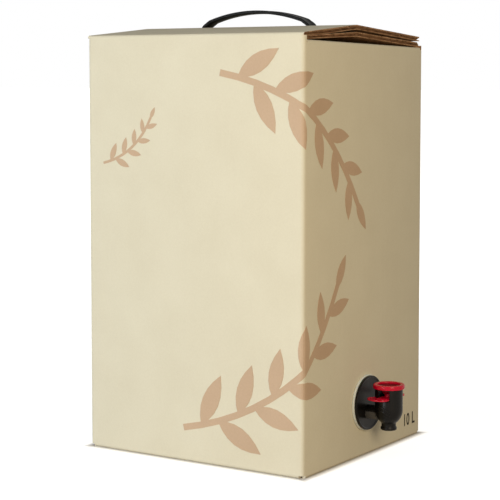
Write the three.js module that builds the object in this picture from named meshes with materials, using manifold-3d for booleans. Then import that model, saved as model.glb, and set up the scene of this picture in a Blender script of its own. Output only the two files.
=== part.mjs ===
// A ten litre bag in box carton with a tap at the foot of its front and a strap handle on top.
// Lengths are millimetres, +Z is up, the tap face looks along -Y, and the origin is the middle of the base.

import * as THREE from "three";
import { mergeVertices } from "three/addons/utils/BufferGeometryUtils.js";
import { RoundedBoxGeometry } from "three/addons/geometries/RoundedBoxGeometry.js";
import Module from "manifold-3d";

const wasm = await Module();
wasm.setup();

// Carton
const CARTON_WIDTH = 185; // across the tap face, along X
const CARTON_DEPTH = 198; // across the side faces, along Y
const CARTON_HEIGHT = 325; // base to the fold of the outer top flap
const BOARD = 3.5; // corrugated board
const UPRIGHT_RADIUS = 3.5; // outside of the upright folds
const CREASE_RADIUS = 2.2; // outside of the folds that carry the flaps
const CORNER_SLOT = 4.2; // from a wall's end to the fold of the flap that it carries
const LAYER_GAP = 0.2; // air between two layers of board pressed together
const FLAP_CLEARANCE = 0.5; // side of an inner flap to the wall beside it
const FOLD_OVERLAP = 0.5; // how far a fold's bend runs down into its wall
const GLUE_LAP = 30; // inner strip that closes the four walls into a tube
const LAP_STEP = 1.2; // raw edge of the back panel, short of the side's outer face

// Top closure
const RIDGE_OFFSET = 77; // bent-up ridge of the outer flap, from its fold
const RIDGE_RISE = 7; // ridge above that fold
const RIDGE_GAP = 1.9; // air between the two big flaps at the ridge
const CRUSHED_BOARD = 2.4; // board squeezed beside the outer flap's fold
const CRUSH_LENGTH = 25; // how far from the fold the squeeze reaches
const FREE_END_BACK = 5.5; // free end of the outer flap, short of the far side
const FREE_END_GAP = 1.4; // air between that free end and the flap below
const BIG_FLAP_INSET = 0.5; // raw long edges of the two big flaps, behind the faces
const SECOND_FLAP_BACK = 4.5; // free end of the second flap to the outer flap's side
const CORNER_NOTCH = 9; // slot cut beside the second flap's fold
const TOP_DUST_FLAP = 40; // flaps of the tap face and the back, under the big ones

// Base closure
const BASE_SLIT = 1; // around the base flap
const BASE_DUST_FLAP = 60; // flaps of the tap face and the back, on the base flap
const BASE_INNER_FLAP = 110; // innermost flap, from the right side

// Bag
const BAG_CLEARANCE = 0.6; // film to the walls
const BAG_SEAT = 0.3; // film to the flap that it stands on
const BAG_HEADSPACE = 1.2; // film to the strap's anchors
const BAG_RADIUS = 12; // rounding of the filled film
const SPOUT_DIMPLE = 1; // room in the film around the spout's weld flange

// Gland
const TAP_HEIGHT = 41.5; // axis of the gland above the base
const HOLE_RADIUS = 17.5; // hole in the tap face
const HOLE_CLEARANCE = 0.4; // gland's neck in that hole
const GLAND_WALL = 2.9;
const COLLAR_WIDTH = 4; // how far the two collars that grip the board reach past the hole
const COLLAR_THICKNESS = 1.2;
const COLLAR_CLEARANCE = 0.3; // collar to board
const WELD_NECK = 1.6; // inner collar to weld flange
const WELD_FLANGE_RADIUS = 28;
const WELD_FLANGE_THICKNESS = 1.2;

// Tap body, with heights measured from the gland's axis
const PART_CLEARANCE = 0.3; // between neighbouring tap pieces
const FLANGE_RADIUS = 21; // black disc in front of the gland
const FLANGE_THICKNESS = 2.5;
const FLANGE_CHAMFER = 0.6;
const SPIGOT_LENGTH = 13.8; // tube behind the disc, in the gland
const SPIGOT_WALL = 3.2;
const TAP_REACH = 20.6; // barrel's axis in front of the tap face
const BARREL_RADIUS = 10.7;
const BARREL_WALL = 2;
const BARREL_RIM = 1.5; // closed ring above the side windows
const BARREL_WAIST = -3.5; // where the barrel starts to narrow
const NOZZLE_TOP = -13.5;
const NOZZLE_LENGTH = 5.5;
const NOZZLE_RADIUS = 5.6;
const NOZZLE_WALL = 1.4;
const NOZZLE_LIP = 0.6; // ring around the nozzle's mouth, beyond its wall
const SEAT_HEIGHT = -11.3; // foot of the cone that the plunger shuts
const SEAT_RISE = 2.4;
const FLOOR_CHAMFER = 1; // around the chamber's floor
const WINDOW_MARGIN = 1; // lever to the side windows' edges
const NECK_HEIGHT = -6; // axis of the tube between disc and barrel
const NECK_RADIUS = 6.5;
const NECK_BORE = 3.8;
const NECK_BAR_HALF = 6.4; // square bar around the tube, half its width
const NECK_BAR_BOTTOM = -11.8;
const NECK_BAR_TOP = -5.7;

// Cap, diaphragm, lever and plunger
const CAP_WALL = 1.15; // skirt around the barrel's rim
const CAP_LIP = 1.6; // cap above the diaphragm's rim
const CAP_SKIRT = 0.7; // how far the cap reaches down past the barrel's rim
const CAP_LEDGE = 0.2; // recess over the diaphragm, wider than the barrel's bore
const CAP_ROUNDING = 0.7;
const CLAMP_GAP = 0.1; // on either side of the diaphragm's rim
const DIAPHRAGM = 0.9; // wall of the elastic cup
const CUP_FOOT_RADIUS = 4.6;
const LEVER_TRAVEL = 4.5; // record.json states it as the joint's range
const LEVER_HEIGHT = 5.3; // underside of the wings
const WING_THICKNESS = 1.6;
const WING_HALF_LENGTH = 9; // oval of a wing, along Y
const WING_HALF_BREADTH = 6.5; // and along X
const WING_OFFSET = 12.5; // middle of a wing beside the barrel's axis
const WING_BACK = 2.5; // and behind it, towards the carton
const LEVER_BAR_HALF = 4.5; // bar that joins the wings through the windows
const HUB_RADIUS = 3.2;
const HUB_HEADROOM = 0.5; // hub to the barrel's rim when the lever is up
const STEM_RADIUS = 2;
const PLUG_OVERLAP = 1.4; // plunger's cone beyond the nozzle's bore
const PLUG_TIP_RADIUS = 2.4;
const PLUG_EDGE = 1.2;
const WIPER_GAP = 0.5; // wiper above the neck's bore
const WIPER_THICKNESS = 1.6;

// Carrying strap
const STRAP_WIDTH = 12; // along X
const STRAP_THICKNESS = 2.6;
const STRAP_SPAN = 100; // between the middles of the two legs
const STRAP_CREST = 20.4; // top of the bow above the outer fold
const BOW_DROP = 7; // middle of the bow to its ends
const SHOULDER_RUN = 7; // length of a slanting shoulder, along Y
const SHOULDER_DROP = 4.6;
const SLOT_CLEARANCE = 0.4; // strap to the slot's sides
const STRAP_TRAVEL = 11; // record.json states it as the joint's range
const ANCHOR_WIDTH = 24; // cross bar under the flaps
const ANCHOR_THICKNESS = 3;

// Print, on the walls unrolled: u runs along the walls from the near upright fold, z is the height
const INK_THICKNESS = 0.2;
const INK_GAP = 0.05;
const WRAP_LAP = 0.06; // how far two neighbouring stretches of wrapped print run into each other
const LEAF_SWELL_AT = 0.45; // widest part of a leaf, of its length
const LEAF_SWELL = 0.34; // its breadth there, twice this on each side of the middle
const LEAF_SPREAD = 0.85; // a leaf to the stem, in radians, at the sprig's start
const LEAF_CLOSING = 0.2; // how much less that is at its end
const LEAF_SHRINK = 0.35; // how much shorter the last leaves are than the first
const LEAF_STAGGER = 0.08; // the two leaves of a pair, along the stem
const TIP_LEAF = 0.62; // leaf at the tip, of the first leaves' length
const UPPER_SPRIG = {
  start: [-72, CARTON_HEIGHT - 29],
  end: [78, CARTON_HEIGHT - 129],
  bulge: 20,
  leaf: 44,
  pairs: 5,
  stem: 5,
};
const LOWER_SPRIG = { start: [-106, 26], end: [48, 138], bulge: -22, leaf: 46, pairs: 5, stem: 5 };
const SMALL_SPRIG = {
  start: [16 - CARTON_DEPTH, CARTON_HEIGHT - 99],
  end: [62 - CARTON_DEPTH, CARTON_HEIGHT - 63],
  bulge: -7,
  leaf: 16,
  pairs: 4,
  stem: 2,
};

// Steps of the round shapes
const TURN_STEPS = 32;
const ARC_STEPS = 4;
const WING_STEPS = 32;
const BOWL_STEPS = 8;
const BOW_STEPS = 20;
const LEAF_STEPS = 6;
const STEM_STEPS = 12;
const HEADROOM = 20; // how far a cutter runs past what it cuts

const left = -CARTON_WIDTH / 2;
const right = CARTON_WIDTH / 2;
const front = -CARTON_DEPTH / 2;
const back = CARTON_DEPTH / 2;

// Levels of the top closure, from the outer fold down
const freeEndBottom = CARTON_HEIGHT - BOARD;
const secondFold = freeEndBottom - FREE_END_GAP;
const dustFoldNear = CARTON_HEIGHT - 2 * (CRUSHED_BOARD + LAYER_GAP);
const dustFoldFar = secondFold - BOARD - LAYER_GAP;
const ridgeX = left + RIDGE_OFFSET;
const ridgeTop = CARTON_HEIGHT + RIDGE_RISE;

// Levels of the base closure
const dustLevel = BOARD + LAYER_GAP;
const innerLevel = 2 * dustLevel;
const bagFloor = innerLevel + BOARD + BAG_SEAT;

// Underside of the second flap, which falls from the ridge to the right side
const ridgeUnderside = ridgeTop - 2 * BOARD - RIDGE_GAP;
const underSecondFlap = (x) =>
  ridgeUnderside - ((ridgeUnderside - secondFold + BOARD) * (x - ridgeX)) / (right - BOARD - ridgeX);
const anchorTop = underSecondFlap(ANCHOR_WIDTH / 2) - STRAP_TRAVEL - LAYER_GAP;
const strapFoot = anchorTop - ANCHOR_THICKNESS;
const bagTop = strapFoot - BAG_HEADSPACE;

function solid(geometry) {
  const bare = geometry.clone();
  bare.deleteAttribute("normal");
  bare.deleteAttribute("uv");
  const merged = mergeVertices(bare, 1e-4);
  const vertProperties = new Float32Array(merged.attributes.position.array);
  const triVerts = new Uint32Array(merged.index.array);
  return new wasm.Manifold(new wasm.Mesh({ numProp: 3, vertProperties, triVerts }));
}

function joined(solids) {
  return solids.reduce((whole, next) => whole.add(next));
}

function without(body, cutters) {
  return cutters.reduce((rest, cutter) => rest.subtract(cutter), body);
}

function block(low, high) {
  const size = high.map((value, i) => value - low[i]);
  const middle = high.map((value, i) => (value + low[i]) / 2);
  return solid(new THREE.BoxGeometry(...size).translate(...middle));
}

// An outline of [a, z] points, spread from low to high along the named axis; a runs along the other one.
function prism(axis, outline, low, high, change = null) {
  const shape = new THREE.Shape(outline.map(([a, z]) => new THREE.Vector2(a, z)));
  const geometry = new THREE.ExtrudeGeometry(shape, { depth: high - low, bevelEnabled: false });
  if (axis === "x") {
    geometry.translate(0, 0, low);
    const toX = new THREE.Matrix4().makeBasis(
      new THREE.Vector3(0, 1, 0),
      new THREE.Vector3(0, 0, 1),
      new THREE.Vector3(1, 0, 0),
    );
    geometry.applyMatrix4(toX);
  } else {
    geometry.translate(0, 0, -high);
    geometry.rotateX(Math.PI / 2);
  }
  if (change) geometry.applyMatrix4(change);
  return solid(geometry);
}

// A closed [radius, height] outline, anticlockwise, turned round the upright line through (x, y).
function turned(outline, x = 0, y = -TAP_REACH) {
  const points = [...outline, outline[0]].map(([r, z]) => new THREE.Vector2(r, z));
  return solid(new THREE.LatheGeometry(points, TURN_STEPS).rotateX(Math.PI / 2).translate(x, y, 0));
}

// The same round a level line that runs out from the tap face at the given height: [radius, out].
function turnedOut(outline, height = 0) {
  const points = [...outline, outline[0]].map(([r, out]) => new THREE.Vector2(r, out));
  return solid(new THREE.LatheGeometry(points, TURN_STEPS).rotateX(Math.PI).translate(0, 0, height));
}

function arcPoints(centre, radius, from, to, steps = ARC_STEPS) {
  return Array.from({ length: steps + 1 }, (_, i) => {
    const angle = from + ((to - from) * i) / steps;
    return [centre[0] + radius * Math.cos(angle), centre[1] + radius * Math.sin(angle)];
  });
}

// Walls: how a distance inward from a wall's outer face becomes X or Y
const WALLS = {
  front: { axis: "x", half: CARTON_WIDTH / 2, place: (inward) => front + inward },
  back: { axis: "x", half: CARTON_WIDTH / 2, place: (inward) => back - inward },
  left: { axis: "y", half: CARTON_DEPTH / 2, place: (inward) => left + inward },
  right: { axis: "y", half: CARTON_DEPTH / 2, place: (inward) => right - inward },
};

// An [inward, z] outline along a wall, stopping `inset` short of both ends of it.
function alongWall(wall, outline, inset, change = null) {
  const { axis, half, place } = WALLS[wall];
  const placed = outline.map(([inward, z]) => [place(inward), z]);
  return prism(axis, placed, inset - half, half - inset, change);
}

// The corners of the tube of walls seen from above; the glue lap's corner is the square one.
function tubeOutline() {
  const r = UPRIGHT_RADIUS;
  const quarter = Math.PI / 2;
  return [
    ...arcPoints([left + r, front + r], r, -2 * quarter, -quarter),
    ...arcPoints([right - r, front + r], r, -quarter, 0),
    [right, back],
    ...arcPoints([left + r, back - r], r, quarter, 2 * quarter),
  ];
}

function tubeOfWalls() {
  const shape = new THREE.Shape(tubeOutline().map(([x, y]) => new THREE.Vector2(x, y)));
  const depth = CARTON_HEIGHT - 2 * CREASE_RADIUS;
  const geometry = new THREE.ExtrudeGeometry(shape, { depth, bevelEnabled: false });
  const inside = block(
    [left + BOARD, front + BOARD, -1],
    [right - BOARD, back - BOARD, CARTON_HEIGHT + HEADROOM],
  );
  return solid(geometry.translate(0, 0, CREASE_RADIUS)).subtract(inside);
}

// Slopes what is drawn at height 0 to the fold of the tap face, which sinks towards the right.
function toDustFold() {
  const slope = (dustFoldFar - dustFoldNear) / CARTON_WIDTH;
  const level = dustFoldNear - slope * left;
  return new THREE.Matrix4().set(1, 0, 0, 0, 0, 1, 0, 0, slope, 0, 1, level, 0, 0, 0, 1);
}

// The rounded bend at the top of a wall and the flap it carries, with the fold's outside at height 0.
function topFlapOutline(length) {
  const r = CREASE_RADIUS;
  return [
    [0, -r - FOLD_OVERLAP],
    ...arcPoints([r, -r], r, Math.PI, Math.PI / 2),
    [length, 0],
    [length, -BOARD],
    [BOARD - FOLD_OVERLAP, -BOARD],
    [BOARD - FOLD_OVERLAP, -r - FOLD_OVERLAP],
  ];
}

function baseEdgeOutline() {
  const r = CREASE_RADIUS;
  return [
    [0, r + FOLD_OVERLAP],
    ...arcPoints([r, r], r, Math.PI, 1.5 * Math.PI),
    [BOARD, 0],
    [BOARD, r + FOLD_OVERLAP],
  ];
}

function baseFlapOutline(level, length) {
  return [
    [BOARD - FOLD_OVERLAP, level],
    [length, level],
    [length, level + BOARD],
    [BOARD - FOLD_OVERLAP, level + BOARD],
  ];
}

const crushEnd = BOARD + CRUSH_LENGTH;
const crushRise = (RIDGE_RISE * (crushEnd - CREASE_RADIUS)) / (RIDGE_OFFSET - CREASE_RADIUS);

function outerTopFlap() {
  const r = CREASE_RADIUS;
  const end = CARTON_WIDTH - FREE_END_BACK;
  const top = CARTON_HEIGHT;
  return alongWall(
    "left",
    [
      [0, top - r - FOLD_OVERLAP],
      ...arcPoints([r, top - r], r, Math.PI, Math.PI / 2),
      [RIDGE_OFFSET, ridgeTop],
      [end, freeEndBottom + BOARD],
      [end, freeEndBottom],
      [RIDGE_OFFSET, ridgeTop - BOARD],
      [crushEnd, top + crushRise - BOARD],
      [BOARD, top - CRUSHED_BOARD],
      [BOARD, top - r - FOLD_OVERLAP],
    ],
    BIG_FLAP_INSET,
  );
}

// Drawn inward from the right side, under the outer flap all the way.
function secondTopFlap() {
  const r = CREASE_RADIUS;
  const across = (fromLeft) => CARTON_WIDTH - fromLeft;
  const under = CARTON_HEIGHT - CRUSHED_BOARD - LAYER_GAP;
  const flap = alongWall(
    "right",
    [
      [0, secondFold - r - FOLD_OVERLAP],
      ...arcPoints([r, secondFold - r], r, Math.PI, Math.PI / 2),
      [across(RIDGE_OFFSET), ridgeUnderside + BOARD],
      [across(SECOND_FLAP_BACK), under],
      [across(SECOND_FLAP_BACK), under - CRUSHED_BOARD],
      [across(RIDGE_OFFSET), ridgeUnderside],
      [BOARD, secondFold - BOARD],
      [BOARD, secondFold - r - FOLD_OVERLAP],
    ],
    BIG_FLAP_INSET,
  );
  const notch = block(
    [right - CORNER_NOTCH, front - 1, dustFoldFar],
    [right + 1, front + BOARD + FLAP_CLEARANCE, freeEndBottom - LAYER_GAP],
  );
  return flap.subtract(notch);
}

function dustTopFlap(wall) {
  return alongWall(wall, topFlapOutline(TOP_DUST_FLAP), CORNER_SLOT, toDustFold());
}

// What the walls lose above the folds of the tap face, the back and the right side.
function roomOverWalls() {
  const above = [
    [-1, -CREASE_RADIUS],
    [BOARD + 1, -CREASE_RADIUS],
    [BOARD + 1, HEADROOM],
    [-1, HEADROOM],
  ];
  const overRight = block(
    [right - UPRIGHT_RADIUS, front - 1, secondFold - CREASE_RADIUS],
    [right + 1, back + 1, CARTON_HEIGHT + HEADROOM],
  );
  const shift = new THREE.Matrix4().makeTranslation(UPRIGHT_RADIUS + 1, 0, 0);
  const change = toDustFold().multiply(shift);
  return [overRight, alongWall("front", above, -1, change), alongWall("back", above, -1, change)];
}

function disc(radius, low, high) {
  return [
    [0, low],
    [radius, low],
    [radius, high],
    [0, high],
  ];
}

// A round bar or hole on the gland's axis, between two distances out from the tap face.
function onTapFace(radius, low, high) {
  return turnedOut(disc(radius, low, high)).translate([0, front, TAP_HEIGHT]);
}

function strapSlots() {
  const halfWidth = STRAP_WIDTH / 2 + SLOT_CLEARANCE;
  const halfDepth = STRAP_THICKNESS / 2 + SLOT_CLEARANCE;
  return [-1, 1].map((side) => {
    const y = (side * STRAP_SPAN) / 2;
    return block(
      [-halfWidth, y - halfDepth, dustFoldFar - BOARD],
      [halfWidth, y + halfDepth, ridgeTop + HEADROOM],
    );
  });
}

function carton() {
  const baseInset = BOARD + BASE_SLIT;
  const innerInset = BOARD + FLAP_CLEARANCE;
  const edges = Object.keys(WALLS).map((wall) => alongWall(wall, baseEdgeOutline(), CORNER_SLOT));
  const baseFlap = alongWall("left", baseFlapOutline(0, CARTON_WIDTH - baseInset), baseInset);
  const baseDust = ["front", "back"].map((wall) => {
    return alongWall(wall, baseFlapOutline(dustLevel, BASE_DUST_FLAP), innerInset);
  });
  const baseInner = alongWall("right", baseFlapOutline(innerLevel, BASE_INNER_FLAP), innerInset);
  const lap = block(
    [right - BOARD - GLUE_LAP, back - 2 * BOARD, bagFloor],
    [right - BOARD + FOLD_OVERLAP, back - BOARD + FOLD_OVERLAP, dustFoldFar - BOARD - 1],
  );
  const lapCorner = block(
    [right - LAP_STEP, back - BOARD, -1],
    [right + 1, back + 1, CARTON_HEIGHT + HEADROOM],
  );
  const walls = without(tubeOfWalls(), roomOverWalls());
  const parts = [
    ...edges,
    baseFlap,
    ...baseDust,
    baseInner,
    lap,
    dustTopFlap("front"),
    dustTopFlap("back"),
    secondTopFlap(),
    outerTopFlap(),
  ];
  const blank = joined([walls, ...parts]);
  const hole = onTapFace(HOLE_RADIUS, -BOARD - 1, 1);
  return without(blank, [hole, lapCorner, ...strapSlots()]);
}

// Distances out from the tap face, negative behind it
const outerCollarOut = COLLAR_CLEARANCE + COLLAR_THICKNESS;
const innerCollarFront = -BOARD - COLLAR_CLEARANCE;
const innerCollarBack = innerCollarFront - COLLAR_THICKNESS;
const weldFront = innerCollarBack - WELD_NECK;
const weldBack = weldFront - WELD_FLANGE_THICKNESS;
const flangeBack = outerCollarOut + PART_CLEARANCE;
const flangeFront = flangeBack + FLANGE_THICKNESS;
const spigotEnd = flangeBack - SPIGOT_LENGTH;

const glandNeck = HOLE_RADIUS - HOLE_CLEARANCE;
const glandBore = glandNeck - GLAND_WALL;
const collarRadius = HOLE_RADIUS + COLLAR_WIDTH;
const spigotRadius = glandBore - PART_CLEARANCE;

function gland() {
  return turnedOut([
    [glandBore, weldBack],
    [WELD_FLANGE_RADIUS, weldBack],
    [WELD_FLANGE_RADIUS, weldFront],
    [glandNeck, weldFront],
    [glandNeck, innerCollarBack],
    [collarRadius, innerCollarBack],
    [collarRadius, innerCollarFront],
    [glandNeck, innerCollarFront],
    [glandNeck, COLLAR_CLEARANCE],
    [collarRadius, COLLAR_CLEARANCE],
    [collarRadius, outerCollarOut],
    [glandBore, outerCollarOut],
  ]);
}

function bag() {
  const inset = BOARD + BAG_CLEARANCE;
  const height = bagTop - bagFloor;
  const size = [CARTON_WIDTH - 2 * inset, CARTON_DEPTH - 2 * inset, height];
  const filled = solid(new RoundedBoxGeometry(...size, 3, BAG_RADIUS));
  const placed = filled.translate([0, 0, bagFloor + height / 2]);
  const lapRoom = block(
    [right - BOARD - GLUE_LAP - BAG_CLEARANCE, back - 2 * BOARD - BAG_CLEARANCE, 0],
    [right, back, CARTON_HEIGHT],
  );
  const glandRoom = onTapFace(WELD_FLANGE_RADIUS + SPOUT_DIMPLE, weldBack - PART_CLEARANCE, 0);
  const spigotRoom = onTapFace(glandBore, spigotEnd - PART_CLEARANCE, 0);
  return without(placed, [lapRoom, glandRoom, spigotRoom]);
}

// Sizes that the tap's pieces share
const chamberRadius = BARREL_RADIUS - BARREL_WALL;
const nozzleBottom = NOZZLE_TOP - NOZZLE_LENGTH;
const nozzleBore = NOZZLE_RADIUS - NOZZLE_WALL;
const wingTop = LEVER_HEIGHT + WING_THICKNESS;
const windowBottom = LEVER_HEIGHT - WINDOW_MARGIN;
const windowTop = wingTop + LEVER_TRAVEL + WINDOW_MARGIN;
const windowHalf = LEVER_BAR_HALF + WINDOW_MARGIN;
const barrelTop = windowTop + BARREL_RIM;
const hubTop = barrelTop - LEVER_TRAVEL - HUB_HEADROOM;
const cupBottom = hubTop + PART_CLEARANCE;
const cupTop = barrelTop + CLAMP_GAP + DIAPHRAGM;

// The barrel's bowl is part of an ellipse, from the nozzle out to the straight wall.
function bowlOutline() {
  const start = Math.asin(NOZZLE_RADIUS / BARREL_RADIUS);
  const depth = (BARREL_WAIST - NOZZLE_TOP) / Math.cos(start);
  return Array.from({ length: BOWL_STEPS }, (_, i) => {
    const angle = start + ((Math.PI / 2 - start) * (i + 1)) / BOWL_STEPS;
    return [BARREL_RADIUS * Math.sin(angle), BARREL_WAIST - depth * Math.cos(angle)];
  });
}

function barrelOutside() {
  const lip = NOZZLE_RADIUS + NOZZLE_LIP;
  return [
    [0, nozzleBottom],
    [NOZZLE_RADIUS, nozzleBottom],
    [lip, nozzleBottom + NOZZLE_LIP],
    [lip, nozzleBottom + 3 * NOZZLE_LIP],
    [NOZZLE_RADIUS, nozzleBottom + 4 * NOZZLE_LIP],
    [NOZZLE_RADIUS, NOZZLE_TOP],
    ...bowlOutline(),
    [BARREL_RADIUS, barrelTop],
    [0, barrelTop],
  ];
}

function barrelInside() {
  const floor = SEAT_HEIGHT + SEAT_RISE;
  return [
    [0, nozzleBottom - 1],
    [nozzleBore, nozzleBottom - 1],
    [nozzleBore, SEAT_HEIGHT],
    [nozzleBore + SEAT_RISE, floor],
    [chamberRadius - FLOOR_CHAMFER, floor],
    [chamberRadius, floor + FLOOR_CHAMFER],
    [chamberRadius, barrelTop + 1],
    [0, barrelTop + 1],
  ];
}

function tapBody() {
  const flange = turnedOut([
    [0, flangeBack],
    [FLANGE_RADIUS, flangeBack],
    [FLANGE_RADIUS, flangeFront - FLANGE_CHAMFER],
    [FLANGE_RADIUS - FLANGE_CHAMFER, flangeFront],
    [0, flangeFront],
  ]);
  const intoFlange = flangeBack + FLANGE_THICKNESS / 2;
  const spigot = turnedOut(disc(spigotRadius, spigotEnd, intoFlange));
  const neck = turnedOut(disc(NECK_RADIUS, intoFlange, TAP_REACH), NECK_HEIGHT);
  const bar = block(
    [-NECK_BAR_HALF, -TAP_REACH, NECK_BAR_BOTTOM],
    [NECK_BAR_HALF, -intoFlange, NECK_BAR_TOP],
  );
  const barrel = turned(barrelOutside());
  const spigotBore = turnedOut(disc(spigotRadius - SPIGOT_WALL, spigotEnd - 1, intoFlange));
  const neckBore = turnedOut(disc(NECK_BORE, flangeBack, TAP_REACH), NECK_HEIGHT);
  const chamber = turned(barrelInside());
  const windows = block(
    [-BARREL_RADIUS - 1, -TAP_REACH - windowHalf, windowBottom],
    [BARREL_RADIUS + 1, -TAP_REACH + windowHalf, windowTop],
  );
  return without(joined([flange, spigot, neck, bar, barrel]), [spigotBore, neckBore, chamber, windows]);
}

function tapCap() {
  const inner = BARREL_RADIUS + PART_CLEARANCE;
  const outer = inner + CAP_WALL;
  const foot = barrelTop - CAP_SKIRT;
  const opening = chamberRadius + CAP_LEDGE;
  const top = cupTop + CAP_LIP;
  return turned([
    [inner, foot],
    [outer - CAP_ROUNDING / 2, foot],
    [outer, foot + CAP_ROUNDING],
    [outer, top - CAP_ROUNDING],
    [outer - CAP_ROUNDING, top],
    [opening + CAP_ROUNDING, top],
    [opening, top - CAP_ROUNDING],
    [opening, cupTop + CLAMP_GAP],
    [inner, cupTop + CLAMP_GAP],
  ]);
}

function tapDiaphragm() {
  const shoulder = chamberRadius - PART_CLEARANCE;
  return turned([
    [0, cupBottom],
    [CUP_FOOT_RADIUS, cupBottom],
    [shoulder, cupTop - DIAPHRAGM],
    [BARREL_RADIUS, cupTop - DIAPHRAGM],
    [BARREL_RADIUS, cupTop],
    [shoulder - DIAPHRAGM / 2, cupTop],
    [CUP_FOOT_RADIUS - DIAPHRAGM / 2, cupBottom + DIAPHRAGM],
    [0, cupBottom + DIAPHRAGM],
  ]);
}

// Two oval wings that lie close round the barrel, joined through its windows.
function tapLever() {
  const wings = [-1, 1].map((side) => {
    const shape = new THREE.Shape();
    shape.absellipse(0, 0, WING_HALF_BREADTH, WING_HALF_LENGTH, 0, 2 * Math.PI);
    const options = { depth: WING_THICKNESS, bevelEnabled: false, curveSegments: WING_STEPS };
    const wing = new THREE.ExtrudeGeometry(shape, options);
    return solid(wing.translate(side * WING_OFFSET, WING_BACK - TAP_REACH, LEVER_HEIGHT));
  });
  const room = turned(disc(BARREL_RADIUS + PART_CLEARANCE, LEVER_HEIGHT - 1, wingTop + 1));
  const bar = block(
    [-WING_OFFSET, -TAP_REACH - LEVER_BAR_HALF, LEVER_HEIGHT],
    [WING_OFFSET, -TAP_REACH + LEVER_BAR_HALF, wingTop],
  );
  const hub = turned(disc(HUB_RADIUS, LEVER_HEIGHT - PART_CLEARANCE, hubTop));
  return joined([joined(wings).subtract(room), bar, hub]);
}

function valvePlunger() {
  const top = LEVER_HEIGHT - 2 * PART_CLEARANCE;
  const plug = nozzleBore + PLUG_OVERLAP;
  const onCone = (r) => SEAT_HEIGHT + (r - nozzleBore) + PART_CLEARANCE * Math.SQRT2;
  const edge = onCone(plug) + PLUG_EDGE;
  const wiper = chamberRadius - PART_CLEARANCE;
  const wiperFoot = NECK_HEIGHT + NECK_BORE + WIPER_GAP;
  return turned([
    [0, onCone(PLUG_TIP_RADIUS)],
    [PLUG_TIP_RADIUS, onCone(PLUG_TIP_RADIUS)],
    [plug, onCone(plug)],
    [plug, edge],
    [STEM_RADIUS, edge + PLUG_EDGE],
    [STEM_RADIUS, wiperFoot],
    [wiper, wiperFoot],
    [wiper, wiperFoot + WIPER_THICKNESS],
    [STEM_RADIUS, wiperFoot + WIPER_THICKNESS],
    [STEM_RADIUS, top],
    [0, top],
  ]);
}

// A band of even thickness along [y, z] points, mitred at each bend.
function bandOutline(points, thickness) {
  const offset = (side) =>
    points.map((point, i) => {
      const before = new THREE.Vector2(...points[Math.max(i - 1, 0)]);
      const here = new THREE.Vector2(...point);
      const after = new THREE.Vector2(...points[Math.min(i + 1, points.length - 1)]);
      const into = here.clone().sub(before);
      const out = after.clone().sub(here);
      if (into.length() === 0) into.copy(out);
      if (out.length() === 0) out.copy(into);
      into.normalize();
      out.normalize();
      const mitre = new THREE.Vector2(-into.y - out.y, into.x + out.x).normalize();
      const reach = thickness / 2 / mitre.dot(new THREE.Vector2(-into.y, into.x));
      return [here.x + side * mitre.x * reach, here.y + side * mitre.y * reach];
    });
  return [...offset(1), ...offset(-1).reverse()];
}

function carryStrap() {
  const crest = CARTON_HEIGHT + STRAP_CREST - STRAP_THICKNESS / 2;
  const legY = STRAP_SPAN / 2;
  const bowHalf = legY - SHOULDER_RUN;
  const radius = (bowHalf ** 2 + BOW_DROP ** 2) / (2 * BOW_DROP);
  const half = Math.asin(bowHalf / radius);
  const middle = [0, crest - radius];
  const bow = arcPoints(middle, radius, Math.PI / 2 - half, Math.PI / 2 + half, BOW_STEPS);
  const elbow = crest - BOW_DROP - SHOULDER_DROP;
  const line = [[legY, strapFoot], [legY, elbow], ...bow, [-legY, elbow], [-legY, strapFoot]];
  const strap = prism("x", bandOutline(line, STRAP_THICKNESS), -STRAP_WIDTH / 2, STRAP_WIDTH / 2);
  const anchors = [-1, 1].map((side) => {
    return block(
      [-ANCHOR_WIDTH / 2, side * legY - STRAP_THICKNESS / 2, strapFoot],
      [ANCHOR_WIDTH / 2, side * legY + STRAP_THICKNESS / 2, anchorTop],
    );
  });
  return joined([strap, ...anchors]);
}

// Flat stretches of the walls around the near upright fold, from the left side to the tap face
function nearFacets() {
  const r = UPRIGHT_RADIUS;
  const bend = arcPoints([left + r, front + r], r, Math.PI, 1.5 * Math.PI);
  const chord = 2 * r * Math.sin(Math.PI / 4 / ARC_STEPS);
  const start = (-ARC_STEPS * chord) / 2;
  const facets = bend.slice(1).map(([x, y], i) => {
    const [x0, y0] = bend[i];
    const along = new THREE.Vector2(x - x0, y - y0).normalize();
    return { from: start + i * chord, to: start + (i + 1) * chord, origin: [x0, y0], along };
  });
  const side = { from: -CARTON_DEPTH, to: start, origin: [left, front + r + CARTON_DEPTH + start] };
  const face = { from: -start, to: CARTON_WIDTH, origin: [left + r, front] };
  side.along = new THREE.Vector2(0, -1);
  face.along = new THREE.Vector2(1, 0);
  return [side, ...facets, face];
}

// Lays a flat solid drawn in [u, z, out] onto the walls, bending it round the near upright fold.
function wrapped(flat) {
  const strips = nearFacets().map(({ from, to, origin, along }) => {
    const low = [from - WRAP_LAP, -HEADROOM, -1];
    const strip = flat.intersect(block(low, [to + WRAP_LAP, CARTON_HEIGHT, 1]));
    if (strip.isEmpty()) return null;
    return strip.warp((v) => {
      const run = v[0] - from;
      const [z, out] = [v[1], v[2]];
      v[0] = origin[0] + along.x * run + along.y * out;
      v[1] = origin[1] + along.y * run - along.x * out;
      v[2] = z;
    });
  });
  return joined(strips.filter(Boolean));
}

function flatShape(shape, steps) {
  const options = { depth: INK_THICKNESS, bevelEnabled: false, curveSegments: steps };
  return solid(new THREE.ExtrudeGeometry(shape, options).translate(0, 0, INK_GAP));
}

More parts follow.
